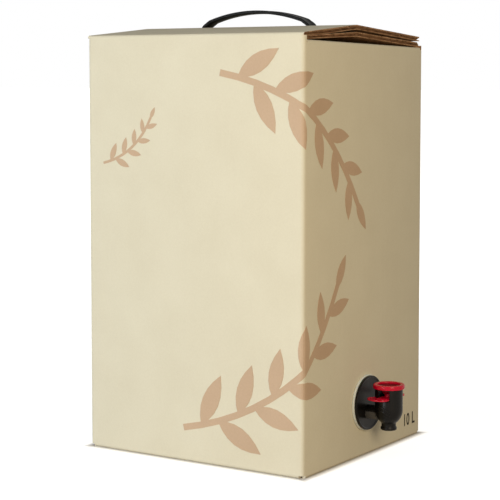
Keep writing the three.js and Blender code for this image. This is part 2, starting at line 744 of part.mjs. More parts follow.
function leafShape(base, angle, length) {
  const tip = base.clone().add(new THREE.Vector2(length, 0).rotateAround(new THREE.Vector2(), angle));
  const side = (sign) => {
    const swell = new THREE.Vector2(length * LEAF_SWELL_AT, sign * length * LEAF_SWELL);
    return base.clone().add(swell.rotateAround(new THREE.Vector2(), angle));
  };
  const shape = new THREE.Shape().moveTo(base.x, base.y);
  shape.quadraticCurveTo(side(1).x, side(1).y, tip.x, tip.y);
  shape.quadraticCurveTo(side(-1).x, side(-1).y, base.x, base.y);
  return shape;
}

// A plain leafy sprig: a bowed stem, leaves in pairs that shrink towards the end, and one at the tip.
function sprig({ start, end, bulge, leaf, pairs, stem }) {
  const from = new THREE.Vector2(...start);
  const to = new THREE.Vector2(...end);
  const run = to.clone().sub(from);
  const bow = new THREE.Vector2(-run.y, run.x).normalize().multiplyScalar(2 * bulge);
  const control = from.clone().add(to).multiplyScalar(0.5).add(bow);
  const curve = new THREE.QuadraticBezierCurve(from, control, to);
  const line = curve.getPoints(STEM_STEPS).map((p) => [p.x, p.y]);
  const band = bandOutline(line, stem).map((p) => new THREE.Vector2(...p));
  const parts = [flatShape(new THREE.Shape(band), 1)];
  const angleAt = (t) => curve.getTangent(t).angle();
  for (let i = 0; i < pairs; i += 1) {
    const t = (i + 0.9) / (pairs + 0.6);
    const length = leaf * (1 - LEAF_SHRINK * t);
    const spread = LEAF_SPREAD - LEAF_CLOSING * t;
    for (const side of [-1, 1]) {
      const base = curve.getPoint(t - (LEAF_STAGGER * (1 + side)) / 2);
      parts.push(flatShape(leafShape(base, angleAt(t) + side * spread, length), LEAF_STEPS));
    }
  }
  parts.push(flatShape(leafShape(curve.getPoint(0.98), angleAt(1), leaf * TIP_LEAF), LEAF_STEPS));
  return joined(parts);
}

function finish(color, roughness, metalness = 0) {
  return new THREE.MeshStandardMaterial({ color, roughness, metalness, side: THREE.FrontSide });
}

function piece(name, body, material) {
  const { vertProperties, triVerts } = body.getMesh();
  const geometry = new THREE.BufferGeometry();
  geometry.setAttribute("position", new THREE.BufferAttribute(Float32Array.from(vertProperties), 3));
  geometry.setIndex(new THREE.BufferAttribute(Uint32Array.from(triVerts), 1));
  geometry.computeVertexNormals();
  const mesh = new THREE.Mesh(geometry, material);
  mesh.name = name;
  return mesh;
}

const pack = new THREE.Group();
pack.add(piece("carton", carton(), finish(0xe2dbc4, 0.85)));
pack.add(piece("bag", bag(), finish(0xc9ccd0, 0.35)));
pack.add(piece("carry_handle", carryStrap(), finish(0x1a1918, 0.4)));
pack.add(piece("print_upper_sprig", wrapped(sprig(UPPER_SPRIG)), finish(0xcdaf91, 0.85)));
pack.add(piece("print_lower_sprig", wrapped(sprig(LOWER_SPRIG)), finish(0xcdaf91, 0.85)));
pack.add(piece("print_small_sprig", wrapped(sprig(SMALL_SPRIG)), finish(0xcdaf91, 0.85)));

const tap = new THREE.Group();
tap.position.set(0, front, TAP_HEIGHT);
tap.add(piece("gland", gland(), finish(0xcfd1cb, 0.5)));
tap.add(piece("tap_body", tapBody(), finish(0x1c1a19, 0.45)));
tap.add(piece("tap_cap", tapCap(), finish(0xc4121f, 0.35)));
tap.add(piece("tap_diaphragm", tapDiaphragm(), finish(0xa80f1b, 0.5)));
tap.add(piece("tap_lever", tapLever(), finish(0xd11228, 0.35)));
tap.add(piece("valve_plunger", valvePlunger(), finish(0xd9d6cc, 0.5)));
pack.add(tap);

export default pack;
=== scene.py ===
import math

import bpy
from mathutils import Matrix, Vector


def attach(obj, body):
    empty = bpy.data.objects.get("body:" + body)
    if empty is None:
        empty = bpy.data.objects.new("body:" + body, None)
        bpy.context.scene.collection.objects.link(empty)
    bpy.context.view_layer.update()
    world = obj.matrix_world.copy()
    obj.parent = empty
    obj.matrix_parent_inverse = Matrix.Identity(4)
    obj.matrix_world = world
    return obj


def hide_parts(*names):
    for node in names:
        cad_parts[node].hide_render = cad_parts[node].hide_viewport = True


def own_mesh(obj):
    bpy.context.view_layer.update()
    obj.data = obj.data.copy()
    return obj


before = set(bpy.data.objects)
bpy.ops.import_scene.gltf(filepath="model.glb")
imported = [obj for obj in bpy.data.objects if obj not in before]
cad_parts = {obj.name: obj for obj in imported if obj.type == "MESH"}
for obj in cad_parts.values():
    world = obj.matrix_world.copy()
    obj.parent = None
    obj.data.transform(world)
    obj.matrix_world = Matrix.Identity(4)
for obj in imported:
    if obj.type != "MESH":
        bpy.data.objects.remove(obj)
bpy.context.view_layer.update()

# Carton
WIDTH = 185
DEPTH = 198
HEIGHT = 325
BOARD = 3.5
WALL = 3.4  # the walls' board, a little thinner than their folds are round
UPRIGHT_RADIUS = 3.5
CREASE_RADIUS = 2.2
CORNER_SLOT = 4.2
FLAP_INSET = 0.5
RIDGE_OFFSET = 77
RIDGE_RISE = 7
RIDGE_TOP = HEIGHT + RIDGE_RISE
RIDGE_GAP = 1.9
CRUSHED = 2.4
CRUSH_END = 28.5
OUTER_FLAP_GAP = 5.5  # from the outer flap's free end to the face of the right wall
SECOND_FLAP_GAP = 4.5  # from the second flap's free end to the face of the left wall
SECOND_FOLD = 320.1
FLAP_CLEARANCE = 0.2
NOTCH_LENGTH = 9
NOTCH_TOP = 321.3
DUST_NEAR = 319.8
DUST_FAR = 316.4
DUST_LENGTH = 40
LAP_STEP = 1.2
LAP_DROP = 5
GLUE_LAP = 30
TAP_HOLE_RADIUS = 17.5
CUT_MARGIN = 2  # how far a cutter reaches past what it cuts
CLOSE = 0.1  # faces are picked by a plane when their middle lies this close to it
LEFT, RIGHT = -WIDTH / 2, WIDTH / 2
FRONT, BACK = -DEPTH / 2, DEPTH / 2
RIDGE_X = LEFT + RIDGE_OFFSET

# Base flaps, with the height of each layer's underside
OUTER_EDGE = 0.35
INNER_EDGE = 0.3
BASE_INSET = BOARD + 1
BASE_DUST_LEVEL = 3.7
BASE_DUST_LENGTH = 60
BASE_INNER_LEVEL = 7.4
BASE_INNER_LENGTH = 110

# Corrugated flaps
LINER = 0.65
FLUTE_PAPER = 0.3
FLUTE_RISE = 0.95
FLUTE_PITCH = 7.5
FLUTE_STEPS = 8

# Strap
STRAP_HALF_WIDTH = 6
STRAP_THICKNESS = 2.3
STRAP_SPAN = 100
STRAP_MIDDLE = 344.1
STRAP_FLUSH = 1.1
STRAP_RIM = 1.7
RIM_HEIGHT = 0.35
BOW_HALF = 43
BOW_DROP = 7
ELBOW = 332.5
ELBOW_CUT = 2.5
STRAP_FOOT = 307.2
ANCHOR_HALF_WIDTH = 12
ANCHOR_HALF_THICKNESS = 1.3
ANCHOR_HEIGHT = 3
SLOT_HALF_WIDTH = 6.4
SLOT_HALF_LENGTH = 1.7
SLOT_CUT_FOOT = 310
SLOT_CUT_TOP = 340

# Volume mark
MARK_LEFT = 63.0
MARK_FOOT = 10.6
MARK_SIZE = 13.6
MARK_BOLD = 0.22
MARK_INK = 0.04
MARK_OUT = 0.06
MARK_SPREAD = 1.08
MARK_NARROWING = 0.78

# Bag
BAG_GAP = 4.1
BAG_BOTTOM = 11.2
BAG_TOP = 306
BAG_ROUNDING = 12
BAG_GRID = 4
BAG_FOLD_SIZE = 35
BAG_FOLD_DEPTH = 2.8
GLAND_ROOM_RADIUS = 29
GLAND_ROOM_DEPTH = 8.1
SPIGOT_ROOM_DEPTH = 12.3
LAP_CLEARANCE = 0.6

# Tap, with heights from the gland's axis and distances out from the tap face
AXIS = 41.5
REACH = 20.6
SPIGOT_RADIUS = 13.9
SPIGOT_BORE = 10.7
GLAND_BORE = 14.2
COLLAR_RADIUS = 21.6
FLANGE_RADIUS = 21
FLANGE_BACK = 2.35
FLANGE_FRONT = 4.3
NECK_START = 3.2
NECK_END = REACH - 6
NECK_RADIUS = 5.4
NECK_LEVEL = -6.9
NECK_BAR_HALF = 6.4
NECK_BAR_TOP = -5.7
NECK_BAR_FOOT = -11.2
BARREL_RADIUS = 10.7
CHAMBER = 8.7
BARREL_TOP = 13.9
BARREL_WAIST = -3.5
NOZZLE_TOP = -13.5
NOZZLE_BOTTOM = -19
NOZZLE_RADIUS = 5.6
BOWL_STEPS = 14
WINDOW_HALF = 5.5
WINDOW_FOOT = 4.3
WINDOW_TOP = 12.4
WINDOW_REACH = 13
RIB_HALF = 0.52
RIB_STEPS = 14
RIBS = ((-206, -146, 1.0, -3.9), (-208, -144, -1.8, -6.9), (-26, 34, 1.0, -3.9))  # azimuths, then heights
CUP_TOP = 14.9
WING_OFFSET = 12.5
WING_BACK = 2.5
WING_HALF_LENGTH = 9
WING_HALF_BREADTH = 6.5
WING_ROOM = 11  # the wings are cut back to this radius round the barrel
WING_ROOM_FOOT = 4
WING_ROOM_TOP = 8
LEVER_BAR_HALF = 4.5
LEVER_BAR_FOOT = 5.3
LEVER_BAR_TOP = 6.7
TURN_STEPS = 96

# Floor, light and camera, with places in metres and the bands of the floor's glow measured from the pack
FLOOR_SIZE = 60
FLOOR_WHITE = (0.95, 0.95, 0.95, 1)  # what the camera sees
FLOOR_BOUNCE = (0.42, 0.35, 0.26, 1)  # what the lamps' light meets
GLOSSY_SHARE = 0.4  # how much of the white surroundings shows in gloss
# Over this band at the pack's foot the floor's glow fades to none: a painted contact shadow.
PAINTED_SHADOW_BAND = (-0.001, 0.007)
NEAR_GLOW = 0.74
FAR_BAND = (0.10, 0.60)
FAR_GLOW = 0.26
WORLD_TINT = (1.0, 0.96, 0.87, 1)
WORLD_STRENGTH = 0.27
CAMERA_PLACE = (-1.0664, -0.6900, 0.2930)
CAMERA_AZIMUTH = -56.8
CAMERA_DIP = 4.44
CAMERA_LENS = 114.4
CAMERA_SHIFT = -0.10


def metres(point):
    return tuple(0.001 * value for value in point)


def linear(red, green, blue):
    """The linear colour of one given as it shows on a screen, from 0 to 255."""
    return tuple((value / 255) ** 2.2 for value in (red, green, blue)) + (1.0,)


# Drawing pieces


def select_none():
    """Leaves edit mode, with nothing selected."""
    if bpy.context.mode != "OBJECT":
        bpy.ops.object.mode_set(mode="OBJECT")
    bpy.ops.object.select_all(action="DESELECT")


def activate(piece):
    select_none()
    piece.select_set(True)
    bpy.context.view_layer.objects.active = piece


def modify(piece, kind, **values):
    activate(piece)
    modifier = piece.modifiers.new(kind.lower(), kind)
    for name, value in values.items():
        setattr(modifier, name, value)
    bpy.ops.object.modifier_apply(modifier=modifier.name)


def edit(piece):
    activate(piece)
    bpy.ops.object.mode_set(mode="EDIT")
    bpy.ops.mesh.select_all(action="SELECT")


def tidy_faces():
    bpy.ops.mesh.select_all(action="SELECT")
    bpy.ops.mesh.remove_doubles(threshold=1e-6)
    bpy.ops.mesh.normals_make_consistent(inside=False)


def extrude_by(step):
    bpy.ops.mesh.extrude_region_move(TRANSFORM_OT_translate={"value": metres(step)})


def draw_line(name, points):
    """A piece that so far is one line through the points, left in edit mode."""
    select_none()
    bpy.ops.mesh.primitive_plane_add(size=0.01)
    piece = bpy.context.object
    piece.name = name
    bpy.ops.object.mode_set(mode="EDIT")
    bpy.ops.mesh.select_mode(type="VERT")
    bpy.ops.mesh.select_all(action="SELECT")
    bpy.ops.mesh.merge(type="CENTER")
    bpy.ops.transform.translate(value=metres(points[0]))
    for before, after in zip(points, points[1:]):
        extrude_by([b - a for a, b in zip(before, after)])
    bpy.ops.mesh.select_all(action="SELECT")
    return piece


def sheet(name, line, steps, outward=None):
    """The line drawn across the steps, with its widest face towards outward, or away from the middle."""
    piece = draw_line(name, line)
    for step in steps:
        extrude_by(step)
    bpy.ops.object.mode_set(mode="OBJECT")
    widest = max(piece.data.polygons, key=lambda face: face.area)
    if widest.normal.dot(Vector(outward) if outward else widest.center) < 0:
        edit(piece)
        bpy.ops.mesh.flip_normals()
        bpy.ops.object.mode_set(mode="OBJECT")
    return piece


def thicken(piece, thickness, *materials, offset=-1):
    """Gives a sheet its thickness; a second material is for its inner side and its raw edges."""
    for material in materials:
        piece.data.materials.append(material)
    second = len(materials) - 1
    modify(
        piece,
        "SOLIDIFY",
        thickness=0.001 * thickness,
        offset=offset,
        use_even_offset=True,
        material_offset=second,
        material_offset_rim=second,
    )


def prism(name, outline, step):
    """The closed outline filled and drawn along the step."""
    piece = draw_line(name, [*outline, outline[0]])
    bpy.ops.mesh.remove_doubles(threshold=1e-6)
    bpy.ops.mesh.edge_face_add()
    extrude_by(step)
    tidy_faces()
    bpy.ops.object.mode_set(mode="OBJECT")
    return piece


def turned(name, outline, centre=(0, FRONT - REACH, AXIS), level=False):
    """An outline of (radius, height) turned round an upright line, or (radius, out) round a level one."""
    if level:
        line = [(centre[0] + r, centre[1] - out, centre[2]) for r, out in outline]
    else:
        line = [(centre[0] + r, centre[1], centre[2] + height) for r, height in outline]
    piece = draw_line(name, line)
    axis = (0, 1, 0) if level else (0, 0, 1)
    bpy.ops.mesh.spin(steps=TURN_STEPS, angle=2 * math.pi, center=metres(centre), axis=axis)
    tidy_faces()
    bpy.ops.object.mode_set(mode="OBJECT")
    return piece


def box(name, low, high):
    select_none()
    middle = [(a + b) / 2 for a, b in zip(low, high)]
    bpy.ops.mesh.primitive_cube_add(size=1, location=metres(middle))
    piece = bpy.context.object
    piece.name = name
    piece.scale = metres([b - a for a, b in zip(low, high)])
    bpy.ops.object.transform_apply(location=True, rotation=True, scale=True)
    return piece


def rod(name, radius, low, high, height):
    """A level round bar, out from the tap face."""
    outline = [(0, low), (radius, low), (radius, high), (0, high)]
    return turned(name, outline, (0, FRONT, AXIS + height), level=True)


def bevel(piece, width, segments=3, angle=35):
    modify(
        piece,
        "BEVEL",
        width=0.001 * width,
        segments=segments,
        limit_method="ANGLE",
        angle_limit=math.radians(angle),
    )


def cut(piece, *cutters):
    for cutter in cutters:
        modify(piece, "BOOLEAN", operation="DIFFERENCE", object=cutter, solver="EXACT")


def discard(*pieces):
    for piece in pieces:
        bpy.data.objects.remove(piece, do_unlink=True)


def join(first, *others):
    activate(first)
    for other in others:
        other.select_set(True)
    bpy.ops.object.join()
    return first


def arc(centre, radius, start, end, steps=6):
    """Points (a, b) on an arc; angles in degrees."""
    turn = [math.radians(start + (end - start) * i / steps) for i in range(steps + 1)]
    return [(centre[0] + radius * math.cos(t), centre[1] + radius * math.sin(t)) for t in turn]


def softened(corners, steps=5, closed=True):
    """An outline whose corners with a third number are cut back by it and curved."""
    points = []
    for i, corner in enumerate(corners):
        here = Vector(corner[:2])
        if len(corner) < 3:
            points.append(tuple(here))
            continue
        before = Vector(corners[i - 1][:2])
        after = Vector(corners[(i + 1) % len(corners)][:2])
        start = here + (before - here).normalized() * corner[2]
        end = here + (after - here).normalized() * corner[2]
        for k in range(steps + 1):
            t = k / steps
            points.append(tuple(start * (1 - t) ** 2 + here * 2 * t * (1 - t) + end * t * t))
    return [*points, points[0]] if closed else points


def dress(piece, body, nodes, material=None, angle=35):
    """Shades the piece, and ties it to its body and the solids that it stands for."""
    activate(piece)
    piece.data.name = piece.name
    bpy.ops.object.shade_smooth_by_angle(angle=math.radians(angle))
    if material:
        piece.data.materials.clear()
        piece.data.materials.append(material)
    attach(piece, body)
    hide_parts(*nodes)
    return piece


# Materials


class Surface:
    """A material with one Principled shader, or a node group, and short ways to add nodes to it."""

    SOCKETS = {
        "colour": "Base Color",
        "rough": "Roughness",
        "metal": "Metallic",
        "specular": "Specular IOR Level",
        "coat": "Coat Weight",
        "inner": "Subsurface Weight",
        "glow": "Emission Color",
        "glow_strength": "Emission Strength",
    }

    def __init__(self, name, group=None):
        self.tree = group
        if not group:
            self.material = bpy.data.materials.new(name)
            self.material.use_nodes = True
            self.tree = self.material.node_tree
            self.shader = self.tree.nodes["Principled BSDF"]
        self.place = self.add("ShaderNodeTexCoord").outputs["Object"]

    def add(self, kind, **settings):
        node = self.tree.nodes.new(kind)
        for name, value in settings.items():
            setattr(node, name, value)
        return node

    def feed(self, socket, value):
        if isinstance(value, bpy.types.NodeSocket):
            self.tree.links.new(value, socket)
        else:
            socket.default_value = value

    def math(self, operation, *values):
        node = self.add("ShaderNodeMath", operation=operation)
        for socket, value in zip(node.inputs, values):
            self.feed(socket, value)
        return node.outputs[0]

    def noise(self, scale, detail=3.0, stretch=None, roughness=0.5):
        node = self.add("ShaderNodeTexNoise")
        place = self.place
        if stretch:
            mapping = self.add("ShaderNodeMapping")
            mapping.inputs["Scale"].default_value = stretch
            self.tree.links.new(place, mapping.inputs["Vector"])
            place = mapping.outputs["Vector"]
        self.tree.links.new(place, node.inputs["Vector"])
        node.inputs["Scale"].default_value = scale
        node.inputs["Detail"].default_value = detail
        node.inputs["Roughness"].default_value = roughness
        return node.outputs["Fac"]

    def ramp(self, value, low, high, to_low=0.0, to_high=1.0, smooth=False):
        node = self.add("ShaderNodeMapRange")
        node.interpolation_type = "SMOOTHSTEP" if smooth else "LINEAR"
        values = (value, low, high, to_low, to_high)
        for name, item in zip(("Value", "From Min", "From Max", "To Min", "To Max"), values):
            self.feed(node.inputs[name], item)
        return node.outputs["Result"]

    def mix(self, factor, first, second):
        # A mix node's colours go in at 6 and 7 and come out at 2.
        node = self.add("ShaderNodeMix", data_type="RGBA")
        for index, item in ((0, factor), (6, first), (7, second)):
            self.feed(node.inputs[index], item)
        return node.outputs[2]

    def bump(self, height, distance=0.001, strength=1.0):
        """Relief whose height is in millimetres."""
        node = self.add("ShaderNodeBump")
        node.inputs["Strength"].default_value = strength
        node.inputs["Distance"].default_value = distance
        self.tree.links.new(height, node.inputs["Height"])
        self.tree.links.new(node.outputs["Normal"], self.shader.inputs["Normal"])

    def set(self, **values):
        for name, value in values.items():
            self.feed(self.shader.inputs[self.SOCKETS[name]], value)


def board_relief():
    """Relief of lined board in millimetres, and the mottling of its face."""
    group = bpy.data.node_groups.new("board_relief", "ShaderNodeTree")
    for name in ("Height", "Tone"):
        group.interface.new_socket(name, in_out="OUTPUT", socket_type="NodeSocketFloat")
    s = Surface("board_relief", group)
    ends = s.add("NodeGroupOutput")
    parts = s.add("ShaderNodeSeparateXYZ")
    s.tree.links.new(s.place, parts.inputs[0])
    facing = s.add("ShaderNodeSeparateXYZ")
    s.tree.links.new(s.add("ShaderNodeNewGeometry").outputs["Normal"], facing.inputs[0])
    upward = s.math("ABSOLUTE", facing.outputs["Z"])
    across = s.math("MULTIPLY", parts.outputs["X"], s.math("SUBTRACT", 1.0, upward))
    along = s.math("ADD", across, parts.outputs["Y"])
    flutes = s.math("SINE", s.math("MULTIPLY", along, 2 * math.pi / (0.001 * FLUTE_PITCH)))
    washboard = s.math("MULTIPLY", flutes, 0.022)
    sag = s.math("MULTIPLY", s.noise(9.0, 1.0), 1.1)
    dents = s.math("MULTIPLY", s.noise(55.0, 2.0), 0.10)
    grain = s.math("MULTIPLY", s.noise(1400.0, 3.0), 0.03)
    height = s.math("ADD", s.math("ADD", washboard, sag), s.math("ADD", dents, grain))
    s.tree.links.new(height, ends.inputs["Height"])
    tone = s.math("ADD", s.math("MULTIPLY", s.noise(30.0, 5.0), 0.6), s.math("MULTIPLY", s.noise(700.0), 0.4))
    s.tree.links.new(tone, ends.inputs["Tone"])
    return group


def on_board(name, light, dark, rough, relief):
    s = Surface(name)
    group = s.add("ShaderNodeGroup", node_tree=relief)
    tone = s.ramp(group.outputs["Tone"], 0.3, 0.7)
    s.set(colour=s.mix(tone, dark, light), rough=s.ramp(tone, 0, 1, rough, rough + 0.08), specular=0.12)
    s.bump(group.outputs["Height"])
    return s.material


def kraft(name):
    """Raw brown board: fibres along the flutes, dark pits and pale torn specks."""
    s = Surface(name)
    fibres = s.noise(500.0, 4.0, (0.25, 1.0, 1.6))
    colour = s.mix(s.ramp(fibres, 0.35, 0.68), linear(138, 102, 74), linear(202, 162, 126))
    specks = s.ramp(s.noise(1500.0, 2.0), 0.60, 0.72)
    colour = s.mix(s.math("MULTIPLY", specks, 0.6), colour, linear(198, 164, 126))
    pits = s.ramp(s.noise(800.0, 2.0, (0.4, 1.0, 1.0)), 0.30, 0.42, 1.0, 0.0)
    colour = s.mix(s.math("MULTIPLY", pits, 0.85), colour, linear(56, 33, 19))
    s.set(colour=colour, rough=0.92, specular=0.1)
    s.bump(s.math("MULTIPLY", s.math("ADD", fibres, s.noise(1500.0)), 0.18))
    return s.material


def plastic(name, colour, shade, rough, coat=0.0, inner=0.0, grain=0.006, specular=0.5):
    """Moulded plastic with faint clouds, scuffs and grain."""
    s = Surface(name)
    cloud = s.noise(120.0, 4.0)
    scuffs = s.ramp(s.noise(700.0, 3.0, (1.0, 1.0, 0.2)), 0.55, 0.75)
    s.set(colour=s.mix(s.ramp(cloud, 0.3, 0.7), shade, colour), coat=coat, inner=inner, specular=specular)
    s.set(rough=s.math("ADD", s.ramp(cloud, 0.3, 0.7, rough, rough + 0.06), s.math("MULTIPLY", scuffs, 0.07)))
    s.bump(s.math("MULTIPLY", s.noise(2600.0, 2.0), grain))
    return s.material


def film(name):
    """Silvery film, creased where it sags, with painted shade darkening its colour along the creases."""
    s = Surface(name)
    folds = s.math("ABSOLUTE", s.math("SUBTRACT", s.noise(28.0, 3.0, (1.0, 1.0, 0.6)), 0.5))
    creases_and_painted_shade = s.ramp(folds, 0.0, 0.09, 1.0, 0.0)
    # The creases are painted a darker grey: painted shade along the folds.
    s.set(colour=s.mix(creases_and_painted_shade, linear(204, 207, 211), linear(150, 154, 160)))
    s.set(rough=s.ramp(creases_and_painted_shade, 0, 1, 0.22, 0.42), metal=0.85)
    s.bump(s.math("ADD", s.math("MULTIPLY", creases_and_painted_shade, 0.5), s.math("MULTIPLY", s.noise(60.0), 0.8)))
    return s.material


relief = board_relief()
COAT = on_board("cream_board", linear(235, 228, 205), linear(228, 220, 196), 0.56, relief)
INK = on_board("tan_ink", linear(213, 184, 156), linear(203, 174, 146), 0.60, relief)
MARK = on_board("dark_ink", linear(52, 46, 38), linear(38, 33, 28), 0.60, relief)
KRAFT = kraft("raw_kraft")
BLACK = plastic("black_plastic", (0.008, 0.007, 0.006, 1), (0.005, 0.0045, 0.004, 1), 0.27, specular=0.24)
# Black painted paler for the neck bar: a painted reflection highlight on the bar's sides.
BAR_BLACK_PAINTED_HIGHLIGHT = plastic("black_with_painted_highlight", (0.105, 0.102, 0.096, 1), (0.075, 0.072, 0.068, 1), 0.38, specular=0.3)
STRAP_BLACK = plastic(
    "strap_black", (0.006, 0.0055, 0.005, 1), (0.004, 0.004, 0.004, 1), 0.40, grain=0.012, specular=0.12
)
RED = plastic("red_plastic", (0.74, 0.002, 0.036, 1), (0.64, 0.002, 0.030, 1), 0.22, coat=0.15, specular=0.25)
# The cup's rubber red is painted dark: painted shade inside the barrel, seen through the windows.
CUP_RED_PAINTED_SHADE = plastic("red_rubber", (0.22, 0.003, 0.011, 1), (0.17, 0.002, 0.008, 1), 0.5, specular=0.2)
MILKY = plastic("milky_plastic", (0.93, 0.95, 0.90, 1), (0.86, 0.88, 0.83, 1), 0.4, inner=0.1)
SEAL = plastic("pale_seal", (0.62, 0.59, 0.52, 1), (0.54, 0.51, 0.45, 1), 0.5)
FILM = film("silver_film")

for node in ("print_upper_sprig", "print_lower_sprig", "print_small_sprig"):
    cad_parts[node].material_slots[0].material = INK
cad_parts["valve_plunger"].material_slots[0].material = SEAL


# Making the carton


def paint(piece, materials, choose):
    """Gives each face the material that choose picks for its middle and normal."""
    piece.data.materials.clear()
    for material in materials:
        piece.data.materials.append(material)
    for face in piece.data.polygons:
        face.material_index = choose(face.center, face.normal)


def trim_top(piece, test, height, slope=0.0):
    """Cuts the chosen faces along a level or sloping line and takes off what is above it."""
    edit(piece)
    bpy.ops.mesh.select_mode(type="FACE")
    bpy.ops.mesh.select_all(action="DESELECT")
    bpy.ops.object.mode_set(mode="OBJECT")
    for face in piece.data.polygons:
        face.select = test(1000 * face.center)
    bpy.ops.object.mode_set(mode="EDIT")
    plane = {"plane_co": metres((LEFT, 0, height)), "plane_no": (-slope, 0, 1)}
    bpy.ops.mesh.bisect(**plane)
    bpy.ops.mesh.select_all(action="DESELECT")
    bpy.ops.object.mode_set(mode="OBJECT")
    for face in piece.data.polygons:
        middle = 1000 * face.center
        face.select = test(middle) and middle.z > height + slope * (middle.x - LEFT)
    bpy.ops.object.mode_set(mode="EDIT")
    bpy.ops.mesh.delete(type="FACE")
    bpy.ops.mesh.select_mode(type="VERT")
    bpy.ops.object.mode_set(mode="OBJECT")


def carton_walls():
    r = UPRIGHT_RADIUS
    plan = [
        (RIGHT - LAP_STEP, BACK),
        *arc((LEFT + r, BACK - r), r, 90, 180),
        *arc((LEFT + r, FRONT + r), r, 180, 270),
        *arc((RIGHT - r, FRONT + r), r, 270, 360),
        (RIGHT, BACK - BOARD),
        (RIGHT - BOARD - GLUE_LAP, BACK - BOARD),
    ]
    rise = HEIGHT - 2 * CREASE_RADIUS
    walls = sheet("carton_walls", [(x, y, CREASE_RADIUS) for x, y in plan], [(0, 0, rise)])
    slope = (DUST_FAR - DUST_NEAR) / WIDTH
    edge = DUST_NEAR - CREASE_RADIUS
    # The tap face and the back first, then the right wall, then the glue lap inside the back
    trim_top(walls, lambda c: abs(c.y) > BACK - CLOSE and c.x > LEFT + r, edge, slope)
    trim_top(walls, lambda c: c.x > RIGHT - r and c.y < BACK - r, SECOND_FOLD - CREASE_RADIUS)
    trim_top(walls, lambda c: BACK - BOARD - CLOSE < c.y < BACK - CLOSE and c.x > 0, DUST_FAR - LAP_DROP)
    thicken(walls, WALL, COAT, KRAFT)
    hole = rod("tap_hole", TAP_HOLE_RADIUS, -BOARD - CUT_MARGIN, CUT_MARGIN, 0)
    cut(walls, hole)
    discard(hole)
    return dress(walls, "pack", ["carton"], angle=40)


def base_panel(name, low, high, edge):
    """A flat flap of the base, with its coated side down."""
    panel = box(name, low, high)
    bevel(panel, edge, 2)
    paint(panel, [COAT, KRAFT], lambda c, n: 0 if n.z < -0.7 else 1)
    dress(panel, "pack", ["carton"])


def base_folds():
    """The bend at the foot of each wall, and the flaps that close the base."""
    r = CREASE_RADIUS
    bend = [*arc((r, r), r, 180, 270), (BOARD, 0), (BOARD, r)]
    half_x, half_y = WIDTH / 2 - CORNER_SLOT, DEPTH / 2 - CORNER_SLOT
    side_step, face_step = (0, 2 * half_y, 0), (2 * half_x, 0, 0)
    bends = [
        prism("base_folds", [(LEFT + a, -half_y, z) for a, z in bend], side_step),
        prism("base_fold_right", [(RIGHT - a, -half_y, z) for a, z in bend], side_step),
        prism("base_fold_front", [(-half_x, FRONT + a, z) for a, z in bend], face_step),
        prism("base_fold_back", [(-half_x, BACK - a, z) for a, z in bend], face_step),
    ]
    folds = join(*bends)
    paint(folds, [COAT, KRAFT], lambda c, n: 0 if max(abs(n.x), abs(n.y), -n.z) > 0.3 and n.z < 0.3 else 1)
    dress(folds, "pack", ["carton"], angle=40)
    far = (RIGHT - BASE_INSET, BACK - BASE_INSET, BOARD)
    base_panel("base_flap", (LEFT + BOARD, FRONT + BASE_INSET, 0), far, OUTER_EDGE)
    inner = BOARD + FLAP_INSET
    low, high = BASE_DUST_LEVEL, BASE_DUST_LEVEL + BOARD
    reach = BASE_DUST_LENGTH
    for name, y0, y1 in (("near", FRONT + BOARD, FRONT + reach), ("far", BACK - reach, BACK - BOARD)):
        base_panel(f"base_dust_flap_{name}", (LEFT + inner, y0, low), (RIGHT - inner, y1, high), INNER_EDGE)
    near = (RIGHT - BASE_INNER_LENGTH, FRONT + inner, BASE_INNER_LEVEL)
    far = (RIGHT - BOARD, BACK - inner, BASE_INNER_LEVEL + BOARD)
    base_panel("base_inner_flap", near, far, INNER_EDGE)


def dust_flap(name, side):
    """A flap of the tap face (side -1) or the back (side 1), which sinks towards the right."""
    r = CREASE_RADIUS
    bend = arc((r, -r), r, 180, 90)
    outline = [*bend, (DUST_LENGTH, 0), (DUST_LENGTH, -BOARD), (BOARD, -BOARD), (BOARD, -r)]
    half = WIDTH / 2 - CORNER_SLOT
    line = [(-half, side * (BACK - a), DUST_NEAR + z) for a, z in outline]
    flap = prism(name, line, (2 * half, 0, 0))
    edit(flap)
    sink = math.atan((DUST_NEAR - DUST_FAR) / WIDTH)
    turn_at = metres((LEFT, 0, DUST_NEAR))
    bpy.ops.transform.rotate(value=-sink, orient_axis="Y", center_override=turn_at)
    bpy.ops.object.mode_set(mode="OBJECT")
    paint(flap, [COAT, KRAFT], lambda c, n: 0 if n.z > 0.05 or side * n.y > 0.5 else 1)
    return dress(flap, "pack", ["carton"], angle=40)


def strap_slot_cutters():
    cutters = []
    for side in (-1, 1):
        y = side * STRAP_SPAN / 2
        low = (-SLOT_HALF_WIDTH, y - SLOT_HALF_LENGTH, SLOT_CUT_FOOT)
        high = (SLOT_HALF_WIDTH, y + SLOT_HALF_LENGTH, SLOT_CUT_TOP)
        cutters.append(box("slot_cutter", low, high))
    return cutters


def corrugated_flap(name, top, under, fluted, cutters):
    """Two liners with fluted paper between them; each line is (x, z) from the fold to the free end."""
    low, span = FRONT + FLAP_INSET, DEPTH - 2 * FLAP_INSET
    liners = []
    for part, line, outward in ((name, top, (0, 0, 1)), ("lower_liner", under, (0, 0, -1))):
        liner = sheet(part, [(x, low, z) for x, z in line], [(0, span, 0)], outward)
        thicken(liner, LINER, COAT if outward[2] > 0 else KRAFT, KRAFT)
        liners.append(liner)
    waves = round(span / FLUTE_PITCH)
    count = waves * FLUTE_STEPS
    heights = [FLUTE_RISE * math.cos(2 * math.pi * i / FLUTE_STEPS) for i in range(count + 1)]
    steps = [(0, span / count, after - before) for before, after in zip(heights, heights[1:])]
    line = [(x, low, z + heights[0]) for x, z in fluted]
    flute = sheet("fluted_paper", line, steps, (0, 0, 1))
    thicken(flute, FLUTE_PAPER, KRAFT, offset=0)
    for layer in (*liners, flute):
        cut(layer, *cutters)
    flap = join(liners[0], liners[1], flute)
    return dress(flap, "pack", ["carton"], angle=40)


